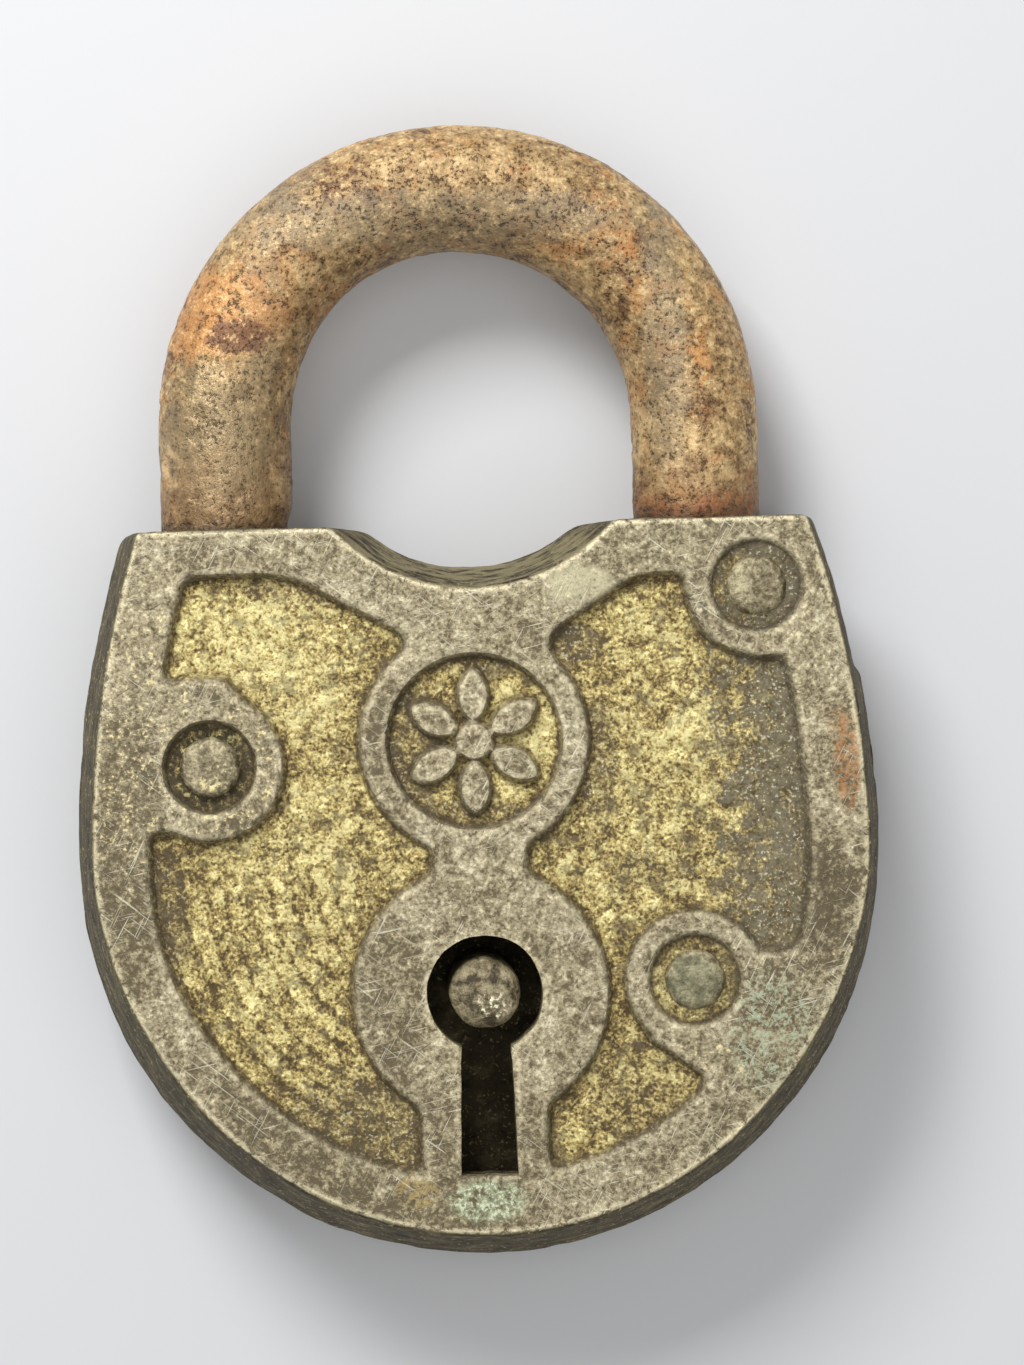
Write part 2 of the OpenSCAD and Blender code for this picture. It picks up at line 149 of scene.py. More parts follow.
class Finish(Wire):  # a material being built
    def __init__(self, name, specular=0.4):
        self.material = bpy.data.materials.new(name)
        self.material.use_nodes = True
        super().__init__(self.material.node_tree)
        self.shader = self.tree.nodes["Principled BSDF"]
        self.shader.inputs["Specular IOR Level"].default_value = specular
        self.place = self.vector("SCALE", self.node("ShaderNodeTexCoord", out=3), 1 / mm)
        self.x, self.y, self.z = self.axes(self.place)

    def mark(self, name):  # a mask painted on the mesh
        return self.node("ShaderNodeAttribute", settings={"attribute_name": name}, out=2)

    def noise(self, size, detail=2.0, rough=0.5, seed=0, stretch=None, warp=0.0):
        vector = self.vector("MULTIPLY", self.place, stretch) if stretch else self.place
        vector = self.vector("ADD", vector, (seed * 7.3, seed * 3.1, seed * 5.7))
        return self.clouds(vector, size, detail, rough, warp)

    def granules(self, size, seed):  # one lot from 0 to 1 for each grain
        vector = self.vector("ADD", self.place, (seed * 3.9, seed * 1.7, seed * 6.1))
        lot = self.node("ShaderNodeTexVoronoi", {"Vector": vector, "Scale": 1 / size}, out=1)
        return self.axes(lot)[0]

    def turnedNoise(self, size, angle, long, seed):  # noise drawn out along one direction
        vector = self.node("ShaderNodeMapping", {
            "Vector": self.place, "Rotation": (0, 0, math.radians(angle)), "Scale": (long, 1, 1),
            "Location": (seed * 5.1, seed * 2.3, seed * 1.7)}, {"vector_type": "TEXTURE"})
        return self.clouds(vector, size)

    def spot(self, x, y, wide, high, ragged=None, edge=0.45):  # a soft ellipse on the face
        away = ((self.x - x) / wide) ** 2 + ((self.y - y) / high) ** 2
        if ragged is not None:
            away = away + (ragged - 0.5) * 2.4
        return soft(away, 1.0 + edge, 1.0 - edge)

    def spots(self, *rows):  # several, each times its own amount
        total = 0
        for amount, *spot in rows:
            total += amount * self.spot(*spot)
        return total

    def ramp(self, tone, *stops):
        return self.node("ShaderNodeValToRGB", {0: tone}, {"stops": stops})

    def close(self, colour, roughness, metallic, height, bump):
        bumped = self.node("ShaderNodeBump", {"Strength": 1, "Distance": bump * mm, "Height": height})
        self.feed(self.shader, {
            "Base Color": colour, "Roughness": roughness, "Metallic": metallic, "Normal": bumped})
        return self.material


low, high = (np.array(corner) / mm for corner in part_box("front_shell"))
case = {
    "halfWidth": high[0],
    "topY": high[1],
    "seamZ": low[2],
    "depth": high[2] - low[2],
    "draft": (2.5, 1.6),  # of the sides, low down and high up
    "topIn": 3.9,
    "roof": 5.0,  # inside of the plate, above the seam
    "wall": 3.2,
    "topWall": 3.0,
    "notchR": 11.9,  # at the seam
    "notchLean": 1.7,
    "notchY": 43.6,
    "gapX": 11.99,  # the open corner that the shackle's heel swings out of
    "gapY": 24.7,
    "toeR": 4.95,
    "toeSides": (-23.95, -12.85),
    "edge": 0.38,  # how far the front edge is rounded
    "step": 0.27,
    "ridge": 1.6,  # from one of the mould's lines to the next
}
halfWidth, topY, seamZ, depth, roof, step, notchY = (
    case[n] for n in ("halfWidth", "topY", "seamZ", "depth", "roof", "step", "notchY"))
midY = low[1] + halfWidth  # the bowl's centre

brass = palette(
    dull=(104, 93, 69),
    face=(154, 142, 112),
    pale=(184, 173, 142),
    light=(226, 217, 186),
    dark=(74, 64, 45),
    gold=(242, 224, 158),
    fieldDark=(96, 81, 53),
    field=(158, 136, 87),
    fieldGold=(214, 194, 124),
    fieldBright=(255, 242, 176),
    # dark brown for dirt specks and for the painted shade in the recesses
    dirt=(62, 50, 31),
    # painted shade colour for the rivet rings
    ringDirt=(78, 70, 52),
    haze=(124, 112, 84),
    dullGround=(126, 117, 92),
    greyGround=(138, 131, 108),
    greyPits=(86, 76, 54),
    greyFlecks=(240, 234, 206),
    scratch=(228, 220, 194),
    wornEdge=(234, 222, 184),
    palePatch=(216, 208, 172),
    rustStain=(172, 112, 56),
    darkPatch=(82, 73, 55),
    green=(174, 182, 148),
    paleGreen=(222, 230, 196),
    ochre=(212, 184, 118),
    bloom=(164, 184, 158),
    side=(84, 75, 54),
    sideLight=(122, 111, 80),
    sideDark=(46, 39, 27),
    notchWall=(158, 148, 112),
)


def castBrass(name, relief):
    f = Finish(name)
    # marks: sunk ground, painted shade in the recesses, worn edges with a painted highlight on the face's
    # rim, and the sides
    sunk, grime, worn, side = (f.mark(n) for n in ("sunk", "grime", "worn", "side"))
    broad = f.noise(7, 3, seed=1)
    cloud = f.noise(2.2, 5, 0.65, seed=2, warp=0.4)
    mottle = f.noise(0.75, 6, 0.78, seed=3, warp=0.3)
    fine = f.noise(0.5, 4, 0.7, seed=4)
    speck = f.noise(0.24, 2, 0.6, seed=5)
    lot = f.granules(0.34, 6) - 0.5
    crumb = mottle * 0.6 + speck * 0.4
    dust = fine * 0.5 + speck * 0.5

    # tarnished raised metal
    tone = mottle * 0.46 + cloud * 0.26 + speck * 0.28 + lot * 0.05
    goldShare = f.spots((0.85, -22, 17, 7, 10, broad)) + 0.15
    if relief:  # painted shade on the left, at the foot and by the right edge, and painted light at the upper right, as the light falls across the face
        tone += f.spots(
            (-0.05, 24.5, 6, 3.4, 6, cloud, 0.8), (-0.045, -7.4, 0, 2.6, 6.5, cloud, 0.8),
            (-0.035, -6.4, 17.6, 1.6, 5.5, cloud), (-0.022, -17.5, 14.5, 4.5, 5, cloud),
            (0.02, 25, 23, 2.6, 6, cloud, 0.8), (-0.05, -26.6, 10, 3.2, 10, cloud))
        # painted shade, darker towards the lower left and a little darker towards the right
        tone -= 0.055 * soft(f.y, -3, -11) * (1 - soft(f.x, 0, 8))
        tone -= 0.012 * soft(f.x, 8, 14)
        goldShare += f.spots(
            (0.7, 17.6, -3.5, 3.4, 3.4, cloud), (0.5, 23.5, 24.5, 2.5, 3.5, cloud))
    scratches = 0
    for size, angle, long, seed, low, high in (
            (0.15, 62, 30, 5, 0.655, 0.70), (0.14, -38, 26, 6, 0.66, 0.71), (0.13, 12, 22, 7, 0.675, 0.72)):
        scratches += soft(f.turnedNoise(size, angle, long, seed), low, high)
    scratches *= soft(broad, 0.40, 0.55)
    face = f.ramp(tone, (0.425, brass["dull"]), (0.49, brass["face"]),
                  (0.545, brass["pale"]), (0.605, brass["light"]))
    face = blend(
        face,
        (brass["gold"], soft(crumb, 0.56, 0.60) * goldShare * 0.9),
        (brass["scratch"], scratches * 0.7),
        (brass["dark"], soft(f.turnedNoise(0.16, 34, 18, 8), 0.70, 0.76) * 0.6),
        (brass["dark"], soft(fine * 0.6 + speck * 0.4, 0.41, 0.35) * 0.6),
        # pale worn metal on the relief's edges, and a painted highlight along the rounded rim of the face
        (brass["wornEdge"], worn * soft(mottle, 0.40, 0.52) * 0.85))
    if relief:
        stain = f.spots((1, 27.1, 16.2, 1, 3.6, mottle), (0.5, 26.6, 19, 1, 1.6, mottle))
        green = f.spot(-0.2, -15.2, 2.8, 1.6, mottle) * soft(mottle, 0.40, 0.54)
        face = blend(
            face,
            (brass["palePatch"], f.spot(7.8, 29.9, 2.4, 1.4, mottle) * soft(fine, 0.3, 0.5) * 0.6),
            (brass["rustStain"], soft(stain * soft(mottle, 0.42, 0.56), 0, 1) * 0.6),
            (brass["darkPatch"], f.spot(24.6, 6.5, 2.6, 3.8, mottle) * soft(fine, 0.6, 0.42) * 0.5),
            (brass["green"], green * 0.75),
            (brass["paleGreen"], green * soft(crumb, 0.50, 0.57) * 0.85),
            (brass["ochre"], f.spot(-5.4, -14.4, 1.6, 1.2, mottle) * soft(fine, 0.44, 0.56) * 0.4),
            (brass["bloom"], f.spot(21, -3.4, 3.2, 4.6, mottle) * soft(crumb, 0.50, 0.57) * 0.75))

    # sunk ground, clean brass showing through brown tarnish
    clump = f.noise(1.15, 6, 0.8, seed=9, warp=0.6)
    wide = f.noise(4, 3, 0.6, seed=10, warp=0.5)
    grit = f.granules(0.25, 7) - 0.5
    tone = clump * 0.56 + speck * 0.3 + wide * 0.14 + lot * 0.045 + grit * 0.06 + 0.006
    if relief:
        edge = f.x + (cloud - 0.5) * 16 + (mottle - 0.5) * 10  # ragged, where the bright metal ends
        height = soft(f.y, -3, 5)
        duller = soft(edge, 16.2, 21.2) * height * 1.05 + f.spots(
            (0.75, -9, -9.8, 6.5, 4, mottle, 0.8), (0.6, -4.8, 18.6, 2.4, 5, mottle),
            (0.6, 8.9, 16.5, 1.4, 5, mottle), (0.5, 13, 8.8, 3.2, 1.4, mottle),
            (0.5, -12.5, 30.2, 5, 1.2, mottle), (0.8, 7.4, 25.6, 2.2, 1.4, mottle),
            (0.6, -23.2, 6, 1.6, 6, mottle), (0.35, 11.5, -8.5, 4.5, 4.5, mottle),
            (0.6, -0.4, 13, 4.4, 1.3, mottle), (0.6, 0, 24.5, 4.4, 1.1, mottle))
        duller = soft(duller, 0, 1.1)
        away = ((f.x * f.x) + (f.y - midY) ** 2) ** 0.5 + cloud * 1.2
        groove = soft(f.math("SINE", away * (2 * math.pi / case["ridge"])), 0.45, 0.95)
        groove *= soft(f.x, -6, -11) * soft(f.y, 12, 6)  # lines left by the mould
        # painted shade darkens the ground by the recess walls
        tone = tone - 0.055 * duller - 0.05 * grime - 0.05 * groove + f.spots(
            (0.045, -16, 25, 6, 6, cloud, 0.8), (0.02, 13.5, 18, 4, 9, cloud, 0.8),
            (0.06, 2.6, 18.6, 3, 3.6, cloud, 0.8), (0.02, -13, 5, 7, 9, cloud, 0.8))
    ground = f.ramp(tone, (0.43, brass["fieldDark"]), (0.482, brass["field"]),
                    (0.532, brass["fieldGold"]), (0.58, brass["fieldBright"]))
    bright = soft(tone, 0.51, 0.58)
    ground = blend(
        ground,
        (brass["haze"], soft(f.noise(1.7, 5, 0.7, seed=12), 0.53, 0.60) * 0.55),
        (brass["dirt"], soft(dust, 0.43, 0.36) * 0.6))
    if relief:
        greyed = soft(edge, 16.4, 21.6) * height
        ground = blend(
            ground,
            (brass["dullGround"], duller * 0.35),
            (brass["greyGround"], greyed * soft(mottle, 0.40, 0.56) * 0.75),
            (brass["greyPits"], greyed * soft(crumb, 0.47, 0.38) * 0.7),
            (brass["greyFlecks"], duller * soft(fine * 0.4 + speck * 0.6, 0.565, 0.61) * 0.7))
        # grainy painted shade in the sunk rings round the rivets, strongest in the deep left ring
        for x, y, share in ((-19.8, 17.2, 1), (20.8, 29.5, 0.3), (15.5, 0.4, 0.4)):  # round the rivets
            dirty = f.spot(x, y, 3.7, 3.7) * share * soft(fine, 0.66, 0.46)
            ground = blend(ground, (brass["ringDirt"], dirty))

    # rough cast sides
    streak = f.noise(1, 5, 0.7, seed=11, stretch=(0.4, 0.4, 1.1))
    rim = blend(
        brass["side"],
        (brass["sideLight"], soft(streak, 0.50, 0.64)),
        (brass["sideDark"], soft(streak, 0.47, 0.36) * 0.85),
        (brass["gold"], soft(dust, 0.57, 0.62) * 0.45))
    if relief:
        notch = f.spot(0, 31.5, 11.5, 4) * soft(streak, 0.40, 0.55)
        rim = blend(rim, (brass["notchWall"], notch * 0.8))

    # grainy painted shade by the recess walls, then the cast sides
    colour = blend(face, (ground, sunk), (brass["dirt"], grime * (0.2 + 0.9 * mottle)), (rim, side))
    roughness = 0.56 + 0.24 * (cloud - 0.5) - 0.2 * bright * sunk - 0.12 * worn + 0.14 * side
    metallic = 0.4 + 0.3 * bright * sunk - 0.25 * grime
    bumps = mottle * 0.4 + speck * 0.3 + clump * sunk * 1.2 - scratches * 0.15 + streak * side
    return f.close(colour, roughness, metallic, bumps, 0.22)


rust = palette(
    brown=(114, 82, 52),
    mid=(160, 130, 86),
    tan=(194, 162, 112),
    light=(222, 192, 140),
    orange=(208, 146, 84),
    fleck=(238, 204, 148),
    pit=(58, 42, 30),
    worn=(144, 127, 97),
    purple=(92, 56, 44),
    grey=(158, 145, 118),
    # painted shade colour for the inner side of the bow
    inward=(92, 68, 46),
    foot=(124, 90, 60),
    red=(158, 98, 58),
    # painted shade colour where the legs go into the case
    crevice=(52, 38, 28),
)


def rustedIron(name):
    f = Finish(name, 0.5)
    broad = f.noise(8, 3, 0.6, seed=21, warp=0.5)
    cloud = f.noise(2.6, 6, 0.72, seed=22, warp=0.6)
    fine = f.noise(0.8, 5, 0.72, seed=23)
    speck = f.noise(0.26, 2, 0.6, seed=24)
    tone = broad * 0.2 + cloud * 0.36 + fine * 0.32 + speck * 0.12 + (f.granules(0.4, 9) - 0.5) * 0.05
    orange = soft(f.noise(3, 6, 0.75, seed=25, warp=0.8), 0.52, 0.58)
    orange *= 0.6 + 0.4 * f.spot(19, 52, 9, 14, broad, 0.7)
    leg = f.spot(-18.5, 41.5, 4.4, 6, cloud, 0.7)  # rubbed smooth where it is handled
    grey = f.spots((0.5, -2, 57.5, 16, 2, cloud, 0.7), (0.5, 14.8, 48, 1.6, 10, cloud, 0.7),
                   (0.35, -15, 51, 1.6, 6, cloud, 0.7), (0.4, -13.5, 62, 3, 3, cloud))
    shoulder = f.spot(-18.8, 50.8, 5.6, 3.2, cloud, 0.5) * soft(fine, 0.36, 0.52)
    flakes = soft(fine * 0.6 + speck * 0.4, 0.545, 0.60) * (0.25 + 0.75 * soft(cloud, 0.42, 0.56))
    off = f.math("ABSOLUTE", f.x)
    ring = ((f.x * f.x) + (f.y - 46.4) ** 2) ** 0.5  # how far out along the bow
    # painted shade on the inner side of the bow and the legs, which faces away from the light
    inward = soft(ring, 17.6, 14.4) * soft(f.y, 44, 50) + soft(off, 16.8, 14.4) * soft(f.y, 50, 44)
    pits = soft(fine * 0.5 + speck * 0.5, 0.45, 0.38)
    reddish = soft(f.y + (fine - 0.5) * 3, 37.4, 36) * soft(f.x, 0, 1) * soft(fine, 0.44, 0.54)
    colour = blend(
        f.ramp(tone, (0.43, rust["brown"]), (0.48, rust["mid"]), (0.535, rust["tan"]), (0.59, rust["light"])),
        (rust["orange"], orange * 0.6),
        (rust["worn"], leg * 0.75),
        (rust["grey"], grey),
        (rust["orange"], shoulder * 0.65),
        (rust["purple"], f.spot(-16.9, 49.2, 2.4, 1.3, fine) * 0.7),
        (rust["fleck"], flakes * 0.75 * (1 - 0.6 * leg)),
        # painted shade on the inner side, and dark pits that are thicker there
        (rust["inward"], inward * 0.16),
        (rust["pit"], pits * (0.3 + 0.35 * inward)),
        (rust["foot"], soft(f.y + (cloud - 0.5) * 5, 41, 35.5) * 0.5),
        (rust["red"], reddish * 0.7),
        # painted shade low on the legs, where they go into the case
        (rust["crevice"], soft(f.y + (fine - 0.5) * 2.4, 36, 34.8) * 0.6))
    roughness = 0.46 - 0.1 * leg + 0.3 * (fine - 0.5) + 0.14 * orange
    return f.close(colour, roughness, 0.25 + 0.2 * leg, fine * 0.8 + speck * 0.4 - pits * 0.4, 0.16)


def plainMetal(name, light, dark, roughness, metallic, seed, size=1.2):
    f = Finish(name)
    cloud = f.noise(size, 4, 0.6, seed=seed, warp=0.3)
    fine = f.noise(size * 0.3, 3, 0.6, seed=seed + 1)
    colour = blend(rgb(*dark), (rgb(*light), soft(cloud * 0.6 + fine * 0.4, 0.4, 0.6)))
    return f.close(colour, roughness + 0.2 * (fine - 0.5), metallic, fine, 0.12)


def rivetBrass(name):
    f = Finish(name)
    cloud = f.noise(1.2, 6, 0.75, seed=31)
    fine = f.noise(0.34, 3, 0.65, seed=32)
    tone = cloud * 0.7 + fine * 0.3
    gold = soft(tone, 0.50, 0.56) * (0.12 + 0.88 * f.spot(-19.2, 16.4, 1.4, 1.2, cloud))
    colour = blend(
        f.ramp(tone, (0.40, rgb(94, 84, 62)), (0.48, rgb(142, 131, 102)), (0.58, rgb(186, 176, 144))),
        (rgb(250, 234, 170), gold * 0.9),
        (rgb(100, 108, 84), f.spot(15.4, 0.5, 2, 2, cloud) * 0.45))
    return f.close(colour, 0.5 + 0.2 * (fine - 0.5), 0.4, fine + cloud, 0.14)


def postIron(name):
    f = Finish(name)
    cloud = f.noise(1.3, 6, 0.75, seed=41)
    fine = f.noise(0.4, 3, 0.65, seed=42)
    glint = soft(fine * 0.5 + cloud * 0.5, 0.50, 0.57) * f.spot(0.6, -0.9, 1.3, 1, cloud)
    glint *= soft(f.z, 14.2, 15)
    colour = blend(
        f.ramp(cloud, (0.40, rgb(74, 65, 47)), (0.48, rgb(126, 115, 88)), (0.58, rgb(168, 156, 124))),
        (rgb(255, 248, 214), glint))
    return f.close(colour, 0.55, 0.35, fine + cloud, 0.2)


finishes = {
    "cast_brass_front": castBrass("castBrassFront", True),
    "cast_brass_back": castBrass("castBrassBack", False),
    "rivet_brass": rivetBrass("rivetBrass"),
    "key_post_iron": postIron("postIron"),
    "rusted_iron": rustedIron("rustedIron"),
    "inner_iron": plainMetal("innerIron", (104, 94, 80), (58, 48, 38), 0.6, 0.5, 51),
    "lever_brass": plainMetal("leverBrass", (150, 126, 76), (84, 68, 40), 0.55, 0.6, 53),
    "spring_steel": plainMetal("springSteel", (120, 116, 110), (66, 58, 50), 0.45, 0.8, 55),
}
print("finishes made")


def grain(places, size, seed):  # smooth noise from -1 to 1 at points in mm
    table = np.random.default_rng(seed).random((32, 32, 32)) * 2 - 1
    q = np.asarray(places, float) / size
    whole = np.floor(q).astype(int)
    f = q - whole
    f = f * f * (3 - 2 * f)
    total = 0.0
    for i in (0, 1):
        for j in (0, 1):
            for k in (0, 1):
                corner = table[(whole[:, 0] + i) % 32, (whole[:, 1] + j) % 32, (whole[:, 2] + k) % 32]
                share = [f[:, a] if bit else 1 - f[:, a] for a, bit in enumerate((i, j, k))]
                total = total + corner * share[0] * share[1] * share[2]
    return total


def grains(places, *layers):  # each layer is an amount, a size and a seed
    return sum(amount * grain(places, size, seed) for amount, size, seed in layers)


def flat(x, y):
    return np.column_stack([x, y, np.zeros(len(x))])


def ease(v):
    v = np.clip(v, 0, 1)
    return v * v * (3 - 2 * v)


def meet(a, b, k):  # where both are positive, with its corners rounded
    h = np.maximum(k - np.abs(a - b), 0) / k
    return np.minimum(a, b) - h * h * k / 4


def join(a, b, k):
    return -meet(-a, -b, k)


def circle(radius, turn):
    return np.column_stack([radius * np.cos(turn), radius * np.sin(turn)])


def disc(x, y, place, radius):
    return radius - np.hypot(x - place[0], y - place[1])


def slab(x, y, x0, x1, y0, y1):
    return np.minimum(np.minimum(x - x0, x1 - x), np.minimum(y - y0, y1 - y))


def inside(x, y, loop):
    odd = np.zeros(x.shape, bool)
    for (ax, ay), (bx, by) in zip(loop, np.roll(loop, -1, axis=0)):
        if ay != by:
            odd ^= ((ay > y) != (by > y)) & (x < (bx - ax) * (y - ay) / (by - ay) + ax)
    return odd


def between(x, y, loops):  # inside the first loop and outside the others
    kept = inside(x, y, loops[0])
    for hole in loops[1:]:
        kept &= ~inside(x, y, hole)
    return kept


def inPolygon(x, y, corners):  # distance to the edge, positive inside
    near = np.full(x.shape, 1e9)
    for (ax, ay), (bx, by) in zip(corners, corners[1:] + corners[:1]):
        ex, ey = bx - ax, by - ay
        t = np.clip(((x - ax) * ex + (y - ay) * ey) / (ex * ex + ey * ey), 0, 1)
        near = np.minimum(near, np.hypot(x - ax - ex * t, y - ay - ey * t))
    return np.where(inside(x, y, np.array(corners)), near, -near)


def triangles(loops, loose):  # fills the first loop, less the others
    points, edges = [], []
    for loop in loops:
        first = len(points)
        points += [Vector(p) for p in loop]
        edges += [(first + i, first + (i + 1) % len(loop)) for i in range(len(loop))]
    points += [Vector(p) for p in loose]
    spots, _, faces, *_ = geometry.delaunay_2d_cdt(points, edges, [], 0, 1e-5)
    spots, faces = np.array([tuple(p) for p in spots]), np.array([tuple(f) for f in faces])
    middle = spots[faces].mean(axis=1)
    return spots, faces[between(middle[:, 0], middle[:, 1], loops)]


class Parts:  # collects vertices in mm and faces
    def __init__(self):
        self.places, self.faces = [], []

    def add(self, places):
        first = len(self.places)
        self.places += [tuple(p) for p in places]
        return np.arange(first, first + len(places))

    def strip(self, upper, lower, skip=None):
        for i in range(len(upper)):
            if skip is None or not skip[i]:
                j = (i + 1) % len(upper)
                self.faces.append((upper[i], upper[j], lower[j], lower[i]))

    def strips(self, rows, skip=None):
        for upper, lower in zip(rows, rows[1:]):
            self.strip(upper, lower, skip)


def merge(mesh, distance, turn=False):  # joins points that lie together
    work = bmesh.new()
    work.from_mesh(mesh)
    bmesh.ops.remove_doubles(work, verts=work.verts, dist=distance)
    if turn:
        bmesh.ops.recalc_face_normals(work, faces=work.faces)
    work.to_mesh(mesh)
    holes = sum(1 for e in work.edges if len(e.link_faces) != 2)
    work.free()
    return holes


def makePiece(name, parts, finish, body, nodes, marks=None, crease=50):
    mesh = bpy.data.meshes.new(name)
    mesh.from_pydata([tuple(c * mm for c in p) for p in parts.places], [],
                     [tuple(int(i) for i in f) for f in parts.faces])
    print(name, merge(mesh, 2e-6, True), "open edges,", len(mesh.polygons), "faces")
    mesh.shade_smooth()
    mesh.set_sharp_from_angle(angle=math.radians(crease))
    if marks:
        places = np.zeros(len(mesh.vertices) * 3)
        mesh.vertices.foreach_get("co", places)
        for mark, values in marks(places.reshape(-1, 3) / mm).items():
            mesh.attributes.new(mark, "FLOAT", "POINT").data.foreach_set("value", values)
    mesh.materials.append(finishes[finish])
    settle(addObject(name, mesh), body, nodes)


def settle(piece, body, nodes):
    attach(piece, body)
    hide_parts(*nodes)


# the two cast shells
sideR = (case["topIn"] ** 2 + (topY - midY) ** 2) / (2 * case["topIn"])
rivetAt = {}
for rivetName in ("left_rivet", "lower_rivet", "shackle_rivet"):
    a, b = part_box(rivetName)
    rivetAt[rivetName] = ((a.x + b.x) / 2 / mm, (a.y + b.y) / 2 / mm)


def sideX(y, inset):
    return np.sqrt((sideR - inset) ** 2 - (y - midY) ** 2) - sideR + halfWidth


def lerp(a, b, t):
    return a + (b - a) * t


def draftAt(y):
    return lerp(*case["draft"], ease((y + 8) / 20))


def columns():  # which stretch of the outline each column is on, and how far along it
    lengths = {"bowl": 90, "sideLow": 14.6, "sideGap": 10.2, "topGap": 14.4, "topRight": 3.6,
               "notch": 19.5, "topMid": 4.4, "toe": 13, "topLeft": 2.4, "sideLeft": 24.8}
    names, along = [], []
    for name, length in lengths.items():
        count = max(4, round(length / step))
        names += [name] * count
        along += list(np.arange(count) / count)
    return np.array(names), np.array(along)


stretch, along = columns()


def trace(top, leftTop, cornerX, gapX, notch, toe, bowl, inset):  # one point for each column
    notchX, notchR = notch
    toeLeft, toeRight = toe
    bow = (1 - np.cos(math.pi * along)) / 2
    x = np.select([stretch == n for n in ("topGap", "topRight", "topMid", "toe", "topLeft")], [
        lerp(cornerX, gapX, along), lerp(gapX, notchX, along), lerp(-notchX, toeRight, along),
        lerp(toeRight, toeLeft, bow), lerp(toeLeft, -cornerX, along)])
    y = np.full(along.shape, float(top))
    at = stretch == "bowl"
    turn = math.pi * (1 + along)
    x[at] = (bowl * np.cos(turn))[at]
    y[at] = (midY + bowl * np.sin(turn))[at]
    for name, y0, y1, sign in (("sideLow", midY, case["gapY"], 1), ("sideGap", case["gapY"], top, 1),
                               ("sideLeft", leftTop, midY, -1)):
        at = stretch == name
        y[at] = np.minimum(lerp(y0, y1, along), top)[at]
        x[at] = sign * sideX(y, inset(y))[at]
    at = stretch == "notch"
    swing = np.arcsin(notchX / notchR) * (1 - 2 * along)
    x[at] = (notchR * np.sin(swing))[at]
    y[at] = (notchY - notchR * np.cos(swing))[at]
    return x, y


def outer(h, extra=0.0):  # the outline at a height above the seam
    h = np.broadcast_to(h, along.shape)
    share = h / depth
    notchR = case["notchR"] + case["notchLean"] * share + extra
    top = topY - extra * 0.8
    notchX = np.sqrt(notchR ** 2 - (notchY - top) ** 2)
    cornerX = sideX(top, draftAt(top) * share + extra)
    roofX = sideX(topY, draftAt(top) * roof / depth)
    squeeze = np.where(h > roof, cornerX / roofX, 1)
    low = midY + halfWidth * np.sin(math.pi * (1 + along))
    x, y = trace(top, top, cornerX, case["gapX"] * squeeze, (notchX, notchR),
                 [side * squeeze for side in case["toeSides"]],
                 halfWidth - draftAt(low) * share - extra, lambda y: draftAt(y) * share + extra)
    at = np.isin(stretch, ("sideLow", "sideGap"))  # the wall's end beside the open corner is worn away
    x[at] -= (0.9 * ease((y - case["gapY"] + 2.2) / 2.2) * ease(1 - h / roof))[at]
    return soften(np.stack([x, y], axis=1))


def inner():  # the wall's inner outline; where the case is open it isn't used
    top, ringR = topY - case["topWall"], case["notchR"] + case["topWall"]
    ringX = math.sqrt(ringR ** 2 - (notchY - top) ** 2)
    return np.stack(trace(top, topY, sideX(top, case["wall"]), case["gapX"], (ringX, ringR),
                          case["toeSides"], halfWidth - case["wall"], lambda y: case["wall"]), axis=1)


def firstOf(name):
    return int(np.argmax(stretch == name))


def soften(loop):  # rounds the corners in plan
    count = len(loop)
    for names, reach, rounds in ((("topGap", "sideLeft"), 1.2, 7), (("notch", "topMid"), 1.9, 22)):
        near = np.zeros(count, bool)
        cells = round(reach / step)
        for name in names:
            near[(firstOf(name) + np.arange(-cells, cells + 1)) % count] = True
        for _ in range(round(rounds * (0.27 / step) ** 2)):
            smooth = (np.roll(loop, 1, axis=0) + 2 * loop + np.roll(loop, -1, axis=0)) / 4
            loop = np.where(near[:, None], smooth, loop)
    return loop


def roughRim(loop, h, seed):  # cast roughness and small nicks along the sides
    run = np.roll(loop, -1, axis=0) - np.roll(loop, 1, axis=0)
    out = np.stack([run[:, 1], -run[:, 0]], axis=1) / np.hypot(run[:, 0], run[:, 1])[:, None]
    place = np.column_stack([loop, np.broadcast_to(h, along.shape)])
    amount = grains(place, (0.10, 4.2, seed), (0.05, 1.3, seed + 1), (0.03, 0.6, seed + 2))
    nick = ease((grain(place * (1, 1, 0.5), 1.7, seed + 3) - 0.5) / 0.35)
    amount = amount - 0.22 * nick * ease((place[:, 2] - 6.2) / 1.4) - 0.06
    smooth = np.isin(stretch, ("toe", "topMid", "topLeft", "topRight", "topGap"))
    smooth = smooth & (place[:, 2] < roof)
    return loop + out * np.where(smooth, 0.3, 1.0)[:, None] * amount[:, None]


def caseEdge(x, y, inset):  # distance in from the case's widest outline, less the inset
    below = halfWidth - inset - np.hypot(x, y - midY)
    centre = sideR - halfWidth
    beside = sideR - inset - np.maximum(
        np.hypot(x - centre, y - midY), np.hypot(x + centre, y - midY))
    return np.where(y < midY, below, beside)


def faceEdge(x, y):  # distance in from the edge of the face
    edge = np.minimum(caseEdge(x, y, draftAt(y)), topY - y)
    return np.minimum(edge, np.hypot(x, y - notchY) - case["notchR"] - case["notchLean"])


